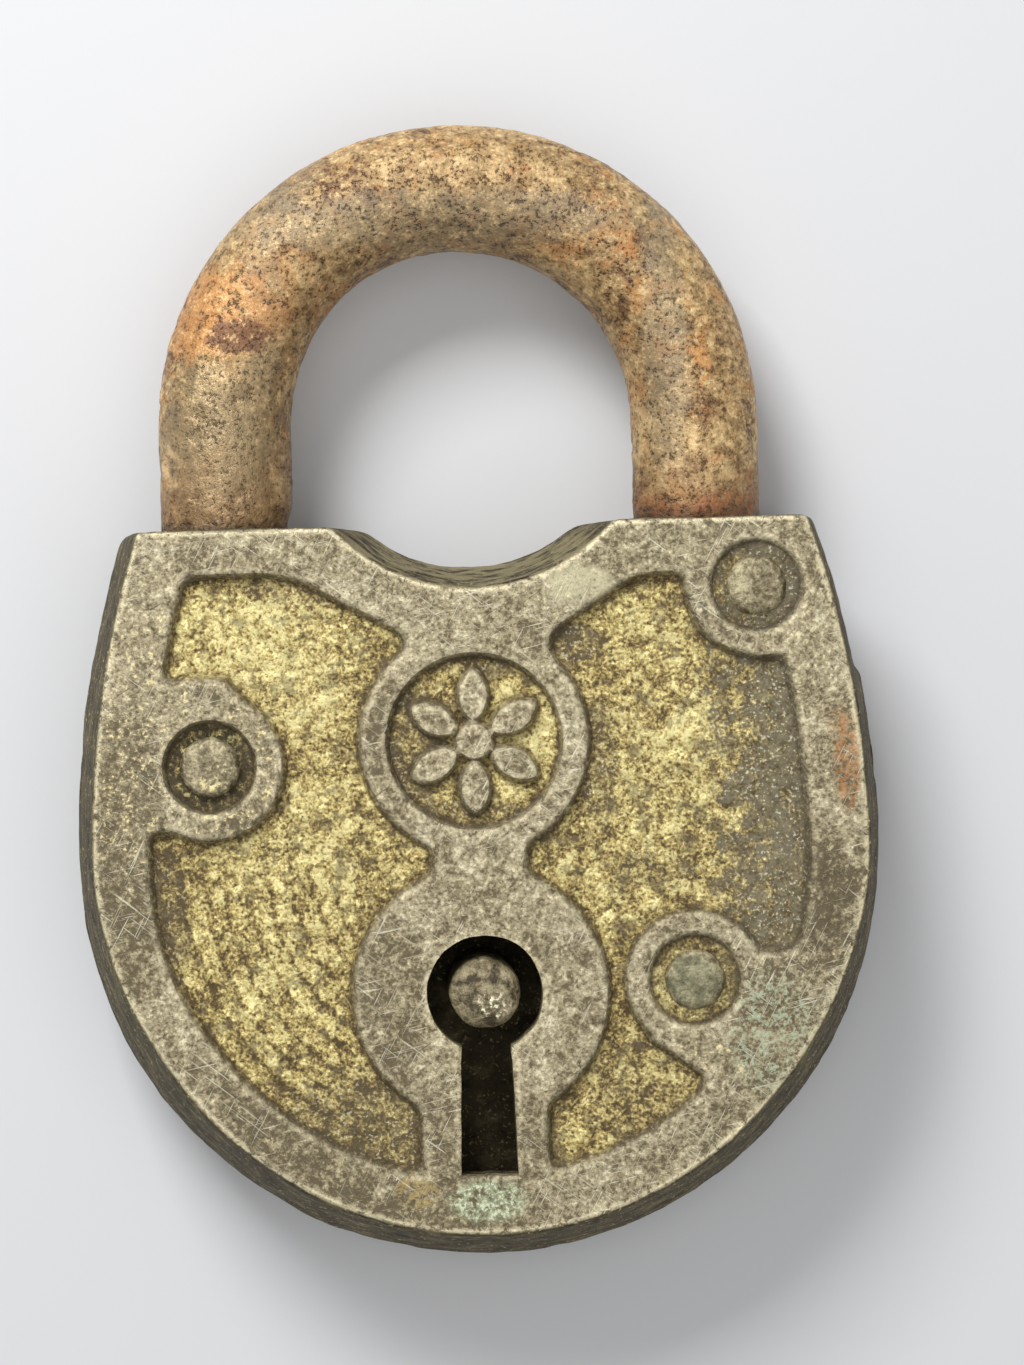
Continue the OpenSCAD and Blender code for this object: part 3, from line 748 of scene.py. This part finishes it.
relief = {
    "fieldDepth": 1.0,
    "fieldWall": 0.45,
    "frame": (5.75, 5.95),  # from the case's widest outline to the left and right ground
    "leftTop": 31.4,
    "rightTop": 30.75,
    "leftSlope": ((-13.2, 31.1), (-4.6, 26.4)),
    "rightSlope": ((5.0, 26.3), (11.7, 30.55)),
    "disc": ((-0.3, 0.0), 9.3),
    "medal": ((-0.28, 18.6), 8.3),
    "medalInner": 6.55,
    "medalDepth": 0.95,
    "medalWall": 0.36,
    "upperNeck": (-4.75, 5.25),
    "waist": (-3.35, 3.1),
    "lowerNeck": (-4.75, 4.25),
    "leftBoss": 5.3,
    "leftBar": (-4.5, 5.95),
    "pivotBoss": 5.0,
    "lowerBoss": 4.95,
    "spur": ((0, 0), (-3.1, -4.2), (0.6, -7.0), (2.2, -40), (40, -40), (40, 1.8), (4.6, 1.8)),
    "hub": 1.25,
    "petals": 6,
    "petal": (3.4, 1.3, 2.3),  # how far out its middle is, then the offset and radius of its two arcs
    "ring": (3.5, (0.95, 0.6, 0.55)),  # radius, and depth round each rivet
    "ringWall": 0.3,
    "lip": 0.28,  # how far the worn metal reaches round a field
    "corner": 1.0,
}
leftRivet, lowerRivet, pivotRivet = (rivetAt[n] for n in ("left_rivet", "lower_rivet", "shackle_rivet"))


def above(x, y, line):  # signed distance to a line, positive on its upper side
    (ax, ay), (bx, by) = line
    length = math.hypot(bx - ax, by - ay)
    return ((bx - ax) * (y - ay) - (by - ay) * (x - ax)) / length


def fieldEdge(x, y):  # distance from a field's edge, positive in the sunk ground
    ground = caseEdge(x, y, np.where(x < 0, *relief["frame"]) + 0.65 * ease((4 - y) / 16))
    k = relief["corner"]
    left = meet(meet(ground, relief["leftTop"] - y, k), -above(x, y, relief["leftSlope"]), k)
    right = meet(meet(ground, relief["rightTop"] - y, k), -above(x, y, relief["rightSlope"]), k)
    ground = np.where(x < 0, left, right)
    medal, medalR = relief["medal"]
    raised = disc(x, y, medal, medalR)
    for other in (
        disc(x, y, *relief["disc"]),
        slab(x, y, *relief["waist"], 0, 18),
        slab(x, y, *relief["upperNeck"], 20, 60),
        slab(x, y, *relief["lowerNeck"], -60, -2),
    ):
        raised = join(raised, other, 0.9)
    bossX, bossY = leftRivet
    barLow, barTop = relief["leftBar"]
    boss = join(disc(x, y, leftRivet, relief["leftBoss"]), slab(x, y, -60, bossX, bossY + barLow, bossY), 0.5)
    boss = join(boss, slab(x, y, -60, bossX + 0.7, bossY - 2, bossY + barTop), 3.0)
    raised = np.maximum(raised, boss)
    px, py = pivotRivet
    bossR = relief["pivotBoss"]
    corner = join(disc(x, y, pivotRivet, bossR), slab(x, y, px, 60, py - bossR, 60), 0.5)
    raised = np.maximum(raised, join(corner, slab(x, y, px - bossR, 60, py, 60), 0.5))
    qx, qy = lowerRivet
    spur = inPolygon(x, y, [(qx + a, qy + b) for a, b in relief["spur"]])
    raised = np.maximum(raised, join(disc(x, y, lowerRivet, relief["lowerBoss"]), spur, 0.7))
    return meet(ground, -raised, k)


def medalEdge(x, y):
    medal = relief["medal"][0]
    floor = disc(x, y, medal, relief["medalInner"])
    petals = disc(x, y, medal, relief["hub"])
    out, bend, radius = relief["petal"]
    for i in range(relief["petals"]):
        turn = 2 * math.pi * (i + 0.5) / relief["petals"]
        px = (x - medal[0]) * math.cos(turn) + (y - medal[1]) * math.sin(turn)
        py = (y - medal[1]) * math.cos(turn) - (x - medal[0]) * math.sin(turn)
        arcs = [disc(px, py, (out, side), radius) for side in (bend, -bend)]
        petals = np.maximum(petals, meet(*arcs, 0.3))
    return meet(floor, -petals, 0.3)


def ringEdge(x, y):
    return np.maximum.reduce([disc(x, y, place, relief["ring"][0]) for place in rivetAt.values()])


def ringDrop(x, y):
    radius, depths = relief["ring"]
    return np.maximum.reduce([depth * ease(disc(x, y, place, radius) / relief["ringWall"])
                              for place, depth in zip(rivetAt.values(), depths)])


def frontDrop(x, y):
    field, medal, ring = fieldEdge(x, y), medalEdge(x, y), ringEdge(x, y)
    place = flat(x, y)
    drop = relief["fieldDepth"] * ease(field / relief["fieldWall"])
    drop = drop + relief["medalDepth"] * ease(medal / relief["medalWall"])
    drop = np.maximum(drop, ringDrop(x, y))
    sunk = ease(np.maximum.reduce([field, medal, ring]) / 0.5)
    edge = np.minimum.reduce([np.abs(field), np.abs(medal), np.abs(ring)])
    drop = drop + 0.06 * (1 - sunk) * np.exp(-(edge / 0.16) ** 2)  # worn edges of the raised metal
    coarse = grains(place, (0.030, 5.5, 61), (0.018, 1.6, 62))
    cast = grains(place, (0.06, 1.3, 63), (0.05, 0.6, 64))
    ridges = 0.08 * np.sin(2 * math.pi * (faceEdge(x, y) + 0.4 * grain(place, 6, 65)) / case["ridge"])
    ridges = ridges * ease((-7 - x) / 4) * ease((11 - y) / 4) * sunk  # faint, low on the left
    dents = 0.12 * ease((grain(place, 2.6, 66) - 0.62) / 0.25)
    return drop + coarse + cast * (0.15 + 0.85 * sunk) + ridges + dents * (1 - sunk)


def backDrop(x, y):
    place = flat(x, y)
    dents = 0.14 * ease((grain(place, 3.1, 71) - 0.6) / 0.25)
    return ringDrop(x, y) + 0.03 * (grain(place, 5.0, 72) + 1) + 0.02 * grain(place, 0.9, 73) + dents


keyhole = {"radius": 4.3, "slot": (1.85, 2.12), "foot": -13.4, "step": 0.26}


def keyholeLoop():
    r, foot, step = (keyhole[n] for n in ("radius", "foot", "step"))
    s, wide = keyhole["slot"]
    start = -math.acos(s / r)
    turn = np.linspace(start, math.pi - start, round(r * 5.2 / step))
    arc = circle(r, turn)
    neck = arc[0][1]
    down = np.linspace(neck, foot, round((neck - foot) / step))[1:]
    half = lerp(s, wide, (neck - down) / (neck - foot))
    across = np.linspace(-wide, wide, round(2 * wide / step))[1:]
    loop = np.vstack([arc, np.column_stack([-half, down]),
                      np.column_stack([across, np.full(len(across), foot)]),
                      np.column_stack([half, down])[::-1][1:]])
    away = loop - (0, -3.0)
    rough = grains(flat(*loop.T), (0.07, 1.1, 81), (0.04, 0.5, 82))
    return loop + away / np.hypot(*away.T)[:, None] * rough[:, None]


def holeLoop(place, radius):
    turn = np.linspace(0, 2 * math.pi, 48, endpoint=False)
    return np.add(place, circle(radius, turn))


def lattice(loops, edges):  # loose points, drawn to the edges of the relief
    xs = np.arange(-halfWidth, halfWidth, step)
    ys = np.arange(midY - halfWidth, topY, step * 0.92)
    x, y = np.meshgrid(xs, ys)
    x = x + (np.arange(len(ys)) % 2)[:, None] * step / 2
    x, y = x.ravel(), y.ravel()
    kept = faceEdge(x, y) > case["edge"]
    x, y = x[kept], y[kept]
    tiny = 1e-3
    for edge in edges:
        for _ in range(2):
            value = edge(x, y)
            gx = (edge(x + tiny, y) - value) / tiny
            gy = (edge(x, y + tiny) - value) / tiny
            size = np.maximum(gx * gx + gy * gy, 0.2)
            move = np.where(np.abs(value) < step * 0.5, value, 0) / size
            x, y = x - gx * move, y - gy * move
    rims = np.vstack(loops)
    tree = kdtree.KDTree(len(rims))
    for i, (a, b) in enumerate(rims):
        tree.insert((a, b, 0), i)
    tree.balance()
    clear = np.array([tree.find((a, b, 0))[2] > step * 0.55 for a, b in zip(x, y)])
    clear &= between(x, y, loops)
    return np.column_stack([x[clear], y[clear]])


def castShell(facing, drop, holes, edges, seed):  # facing is 1 for the front, -1 for the back
    parts = Parts()
    edge = case["edge"]

    def put(loop, h):
        h = np.broadcast_to(h, (len(loop),))
        return parts.add(np.column_stack([loop, seamZ + facing * h]))

    toe = stretch == "toe"
    sides = case["toeSides"]
    middle, half = (sides[0] + sides[1]) / 2, (sides[1] - sides[0]) / 2
    level = half - case["toeR"]
    lowX = outer(0.0)[:, 0]
    arch = np.sqrt(np.maximum(case["toeR"] ** 2 - np.maximum(np.abs(lowX - middle) - level, 0) ** 2, 0))
    lowH = np.where(toe, np.minimum(arch, roof - 0.02), 0.0)
    gap = np.isin(stretch, ("sideGap", "topGap"))

    # the sides, from the rounded edge of the face down to the seam
    turned = 0.34  # how far down the rounding goes
    rings = [(depth, edge), (depth - 0.04, edge * 0.5), (depth - 0.14, edge * 0.16), (depth - turned, 0.0)]
    plateRows = max(3, round((depth - turned - roof) / 0.34))
    rings += [(h, 0.0) for h in np.linspace(depth - turned, roof, plateRows + 1)[1:]]
    rows, loops = [], []
    for h, inset in rings:
        loop = roughRim(outer(h, inset), h, seed)
        rows.append(put(loop, h - drop(*loop.T) if not rows else h))
        loops.append(loop)
    parts.strips(rows)
    roofLoop, lowRows = loops[-1], rows[-1:]
    for share in np.linspace(0, 1, 15)[1:]:
        h = lerp(roof, lowH, share)
        chamfer = 0.14 if share == 1 else 0.0  # the seam shows as a fine groove
        lowRows.append(put(roughRim(outer(h, chamfer), h, seed), h))
    parts.strips(lowRows, gap)

    # seam, inner wall and the two ends of the wall beside the open corner
    wallLoop = inner()
    innerLow, innerRoof = put(wallLoop, lowH), put(wallLoop, roof)
    parts.strips([lowRows[-1], innerLow, innerRoof], gap)
    starts = (firstOf("sideGap"), firstOf("topRight"))
    for at in starts:
        parts.faces.append(tuple(row[at] for row in lowRows) + (innerLow[at], innerRoof[at]))

    # the face, the holes through it and the inside of the plate
    face, faces = triangles([loops[0]] + holes, lattice([loops[0]] + holes, edges))
    first = put(face, depth - drop(*face.T))[0]
    parts.faces += [tuple(f + first) for f in faces]
    for hole in holes:
        top = depth - drop(*hole.T)
        parts.strips([put(hole, lerp(top, roof, share)) for share in np.linspace(0, 1, 9)])
    border = []
    for i in range(len(along)):
        if i == starts[0]:
            border += [wallLoop[i], roofLoop[i]]
        elif i == starts[1]:
            border += [roofLoop[i], wallLoop[i]]
        else:
            border.append(roofLoop[i] if gap[i] else wallLoop[i])
    tidy = [border[0]]
    for p in border[1:]:
        if np.hypot(*(p - tidy[-1])) > 1e-4:
            tidy.append(p)
    under, faces = triangles([np.array(tidy)] + holes, [])
    first = put(under, roof)[0]
    parts.faces += [tuple(f + first) for f in faces]
    return parts


def shellMarks(front):
    def marks(places):
        x, y, z = places.T
        h = np.abs(z - seamZ)
        rim = faceEdge(x, y)
        ring = ringEdge(x, y)
        if front:
            field, medal = fieldEdge(x, y), medalEdge(x, y)
            hole = join(disc(x, y, (0, 0), keyhole["radius"]),
                        slab(x, y, -keyhole["slot"][1], keyhole["slot"][1], keyhole["foot"], 0), 0.1)
        else:
            field = medal = hole = np.full(len(x), -9.0)
        deep = np.maximum.reduce([field, medal, ring])
        low = h < depth - 1.35
        side = np.where(low, 1.0, 1 - ease((rim - 0.02) / 0.26))
        # painted shade in the recesses: a dark band at the foot of each wall and a softer shade fading out
        # across the sunk ground
        wall = 0.75 * np.exp(-((deep - 0.24) / 0.22) ** 2) * (deep > -0.1)
        shade = 0.3 * np.exp(-np.maximum(deep, 0) / 0.8) * (deep > 0)
        near = np.minimum(np.abs(deep + 0.14), np.abs(hole + 0.14))
        # worn bright metal on the relief's edges and round the holes; the bright line along the face's
        # rounded rim is partly wear and partly painted highlight
        worn = np.exp(-(near / 0.15) ** 2) * 0.7 + 1.2 * np.exp(-((rim - case["edge"] * 0.8) / 0.16) ** 2)
        return {"sunk": ease((deep - 0.08) / 0.3), "grime": np.clip(wall + shade, 0, 1),
                "worn": np.clip(worn, 0, 1) * (1 - ease(deep / 0.1)), "side": side}
    return marks


def within(edge, inset):
    return lambda x, y: edge(x, y) - inset


rivetHoles = [holeLoop(place, 2.0) for place in rivetAt.values()]
reliefEdges = [
    fieldEdge, within(fieldEdge, relief["fieldWall"]), within(fieldEdge, -relief["lip"]),
    medalEdge, within(medalEdge, relief["medalWall"]), ringEdge, within(ringEdge, relief["ringWall"]),
]
front = castShell(1, frontDrop, [keyholeLoop()] + rivetHoles, reliefEdges, 90)
makePiece("frontCasting", front, "cast_brass_front", "case", ["front_shell"], shellMarks(True))
back = castShell(-1, backDrop, rivetHoles, [ringEdge, within(ringEdge, relief["ringWall"])], 95)
makePiece("backCasting", back, "cast_brass_back", "case", ["back_shell"], shellMarks(False))
print("shells made")


def sizedTree(name, sizes):  # a tree with one named input for each size
    tree = bpy.data.node_groups.new(name, "GeometryNodeTree")
    tree.interface.new_socket("Geometry", in_out="INPUT", socket_type="NodeSocketGeometry")
    kinds = {float: "NodeSocketFloat", int: "NodeSocketInt"}
    for label, value in sizes.items():
        tree.interface.new_socket(label, in_out="INPUT", socket_type=kinds[type(value)])
    tree.interface.new_socket("Geometry", in_out="OUTPUT", socket_type="NodeSocketGeometry")
    entry = tree.nodes.new("NodeGroupInput")
    return Wire(tree), {socket.name: Wire(tree, socket) for socket in entry.outputs if socket.name}


def growTree(piece, root, result, sizes, finish):  # ends the tree, runs it and keeps its mesh
    real = root.node("GeometryNodeRealizeInstances", {0: result})
    dressed = root.node("GeometryNodeSetMaterial", {"Geometry": real, "Material": finishes[finish]})
    end = root.tree.nodes.new("NodeGroupOutput")
    root.tree.links.new(dressed.socket, end.inputs[0])
    modifier = piece.modifiers.new(root.tree.name, "NODES")
    modifier.node_group = root.tree
    for item in root.tree.interface.items_tree:
        if item.in_out == "INPUT" and item.name in sizes:
            modifier[item.identifier] = sizes[item.name]
    graph = bpy.context.evaluated_depsgraph_get()
    mesh = bpy.data.meshes.new_from_object(piece.evaluated_get(graph))
    piece.modifiers.clear()
    piece.data = mesh
    mesh.materials.clear()
    mesh.materials.append(finishes[finish])
    mesh.shade_smooth()


shackle = {"Lump height": 0.12, "Lump size": 2.6, "Flake height": 0.075, "Flake size": 0.95,
           "Pit depth": 0.16, "Pit size": 1.5, "Swelling": 0.5, "Seed": 17}
shackleGrid = 0.28


def copyOf(node, name):
    piece = addObject(name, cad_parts[node].data.copy())
    piece.data.materials.clear()
    merge(piece.data, 1e-6)
    return piece


def rustTree():
    root, size = sizedTree("rustedSurface", shackle)
    scaled = root.vector("SCALE", root.node("GeometryNodeInputPosition"), 1 / mm)
    moved = root.vector("ADD", scaled, root.combine(size["Seed"] * 3.7, size["Seed"] * 1.3))
    lumps, flakes, pits = (root.clouds(moved, size[kind + " size"], detail, 0.6)
                           for kind, detail in (("Lump", 2), ("Flake", 3), ("Pit", 2)))
    rise = (lumps - 0.5) * 2 * size["Lump height"] + (flakes - 0.5) * 2 * size["Flake height"]
    rise -= soft(pits, 0.42, 0.30) * size["Pit depth"]
    push = root.vector("SCALE", root.node("GeometryNodeInputNormal"), rise * mm)
    x, y, _ = root.axes(scaled)
    leg = soft(x, -20.0, -15.0) * soft(x, 0.0, -8.0) * soft(y, 56.0, 46.0) * soft(y, 34.8, 37.0)
    push = root.vector("ADD", push, root.combine(leg * size["Swelling"] * mm))
    return root, root.push(size["Geometry"], push)


rusted = copyOf("shackle", "rustedShackle")
remesh = rusted.modifiers.new("grid", "REMESH")
remesh.mode, remesh.voxel_size, remesh.use_smooth_shade = "VOXEL", shackleGrid * mm, True
smooth = rusted.modifiers.new("smooth", "SMOOTH")
smooth.factor, smooth.iterations = 0.5, 4
root, shaped = rustTree()
growTree(rusted, root, shaped, shackle, "rusted_iron")
settle(rusted, "shackle", ["shackle"])
print("shackle made", len(rusted.data.polygons))

rivets = {"Shank radius": 2.0, "Half length": 7.88, "Swell": 0.1, "Round over": 0.16, "Dome": 0.1,
          "Hammering": 0.07, "Seed": 5}


def rivetTree():
    root, size = sizedTree("peenedRivets", rivets)
    half = size["Half length"]
    bar = root.node("GeometryNodeMeshCylinder", {
        "Vertices": 56, "Side Segments": 44, "Fill Segments": 7,
        "Radius": size["Shank radius"] * mm, "Depth": half * (2 * mm)})
    place = root.node("GeometryNodeInputPosition")
    x, y, z = root.axes(place)
    far = root.math("ABSOLUTE", z) / mm
    share = (x * x + y * y) / ((size["Shank radius"] * mm) ** 2)
    swell = soft(far, half - 1.0, half - 0.7) * size["Swell"]
    swell = swell - soft(far, half - 0.3, half) * size["Round over"]
    dome = soft(far, half - 0.1, half) * (1.0 - share) * size["Dome"] * mm
    rise = root.math("SIGN", z) * dome
    bar = root.push(bar, root.combine(x * swell, y * swell, rise))
    spin = root.node("FunctionNodeRandomValue", {2: 0.0, 3: 2 * math.pi, "Seed": size["Seed"]},
                     {"data_type": "FLOAT"}, 1)
    stood = root.node("GeometryNodeInstanceOnPoints", {
        "Points": size["Geometry"], "Instance": bar, "Rotation": root.combine(z=spin)})
    stood = root.node("GeometryNodeRealizeInstances", {0: stood})
    scaled = root.vector("SCALE", place, 1 / mm)
    rise = (root.clouds(scaled, 1 / 0.9, 3) - 0.5) * 2 * size["Hammering"] * mm
    return root, root.push(stood, root.vector("SCALE", root.node("GeometryNodeInputNormal"), rise))


spots = bpy.data.meshes.new("rivetSpots")
spots.from_pydata([(x * mm, y * mm, seamZ * mm) for x, y in rivetAt.values()], [], [])
peened = addObject("peenedRivets", spots)
root, shaped = rivetTree()
growTree(peened, root, shaped, rivets, "rivet_brass")
peened.data.set_sharp_from_angle(angle=math.radians(60))
settle(peened, "case", list(rivetAt))
print("rivets made", len(peened.data.polygons))

post = {"radius": 2.6, "stud": 1.8, "foot": 1.5, "shoulder": 3.0, "tip": 15.8, "dome": 1.0, "sides": 72}


def lathe(profile, sides):
    parts = Parts()
    turn = np.linspace(0, 2 * math.pi, sides, endpoint=False)
    rings = []
    for radius, z in profile:
        ring = np.column_stack([circle(radius, turn), np.full(sides, z)])
        bump = grains(ring, (0.07, 1.0, 85), (0.05, 0.5, 86))
        ring[:, :2] *= (1 + bump / post["radius"])[:, None]
        ring[:, 2] += bump * ease((z - post["tip"] + 1.2) / 0.6)
        rings.append(parts.add(ring))
    parts.strips(rings)
    for ring, z in ((rings[0], profile[0][1]), (rings[-1], profile[-1][1])):
        centre = parts.add([(0, 0, z)])[0]
        parts.faces += [(ring[i], ring[(i + 1) % sides], centre) for i in range(sides)]
    return parts


def postProfile():
    side = [(post["radius"], z) for z in np.linspace(post["shoulder"], post["tip"] - post["dome"], 44)]
    turn = np.linspace(0, math.pi / 2, 14)[1:-1]
    radius, top, dome = (post[n] for n in ("radius", "tip", "dome"))
    dome = [(radius * math.cos(t) ** 0.8, top + dome * (math.sin(t) - 1)) for t in turn]
    return [(post["stud"], post["foot"]), (post["stud"], post["shoulder"])] + side + dome


makePiece("keyPost", lathe(postProfile(), post["sides"]), "key_post_iron", "case", ["key_post"], crease=60)
print("post made")

# inner works keep their own shapes
for name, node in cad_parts.items():
    if node.hide_render:
        continue
    finish = "inner_iron"
    if name.startswith("lever_spring"):
        finish = "spring_steel"
    elif name[:-1] == "lever_":
        finish = "lever_brass"
    node.data.materials.clear()
    node.data.materials.append(finishes[finish])
print("inner works dressed")

studio = {
    "eye": (-6.41, 23.08, 300.0),  # above the lock, a little to its left
    "shift": 0.09,
    "roll": -1.6,
    "lens": 101.9,
    "sensor": 36.0,
    "clip": (0.01, 20.0),
    "aim": (0.0, 20.0, 8.0),  # where the lamps point
    "key": {"place": (-130.0, 280.0, 290.0), "size": 0.15, "power": 1.45},
    "fill": {"place": (30.0, -40.0, 380.0), "size": 0.4, "power": 0.55},
    "sky": 0.34,
    "backdrop": 0.8,  # the sky as the camera sees it
    "floor": (212, 213, 215),
    "floorZ": -0.05,
    "floorHalf": 3000.0,
}


def lamp(name, place, size, power):
    light = bpy.data.lights.new(name, "AREA")
    light.size, light.energy = size, power
    holder = addObject(name, light)
    holder.location = Vector(place) * mm
    aim = Vector(studio["aim"]) * mm - holder.location
    holder.rotation_euler = aim.to_track_quat("-Z", "Y").to_euler()


for lampName in ("key", "fill"):
    lamp(lampName, **studio[lampName])

world = bpy.data.worlds.new("studio")
bpy.context.scene.world = world
world.use_nodes = True
sky = Wire(world.node_tree)
rays = [sky.node("ShaderNodeLightPath", out=i) for i in (0, 3, 6)]  # camera, glossy, transmission
seen = sky.math("MAXIMUM", rays[0], rays[2])
strength = studio["sky"] + seen * (studio["backdrop"] - studio["sky"])
sky.feed(world.node_tree.nodes["Background"], {"Strength": strength, "Color": (1.0, 1.0, 1.0, 1.0)})

floorFinish = Finish("paleFloor", 0.5)
floorFinish.feed(floorFinish.shader, {"Base Color": rgb(*studio["floor"]), "Roughness": 0.8})
floorMesh = bpy.data.meshes.new("floor")
reach, floorZ = studio["floorHalf"] * mm, studio["floorZ"] * mm
floorMesh.from_pydata([(-reach, -reach, floorZ), (reach, -reach, floorZ), (reach, reach, floorZ),
                       (-reach, reach, floorZ)], [], [(0, 1, 2, 3)])
floorMesh.materials.append(floorFinish.material)
addObject("floor", floorMesh)

camera = bpy.data.cameras.new("camera")
camera.lens, camera.sensor_width, camera.shift_x = (studio[n] for n in ("lens", "sensor", "shift"))
camera.clip_start, camera.clip_end = studio["clip"]
viewer = addObject("camera", camera)
viewer.location = Vector(studio["eye"]) * mm
viewer.rotation_euler = (0, 0, math.radians(studio["roll"]))
bpy.context.scene.camera = viewer
bpy.context.scene.view_settings.view_transform = "Standard"

print("studio set")
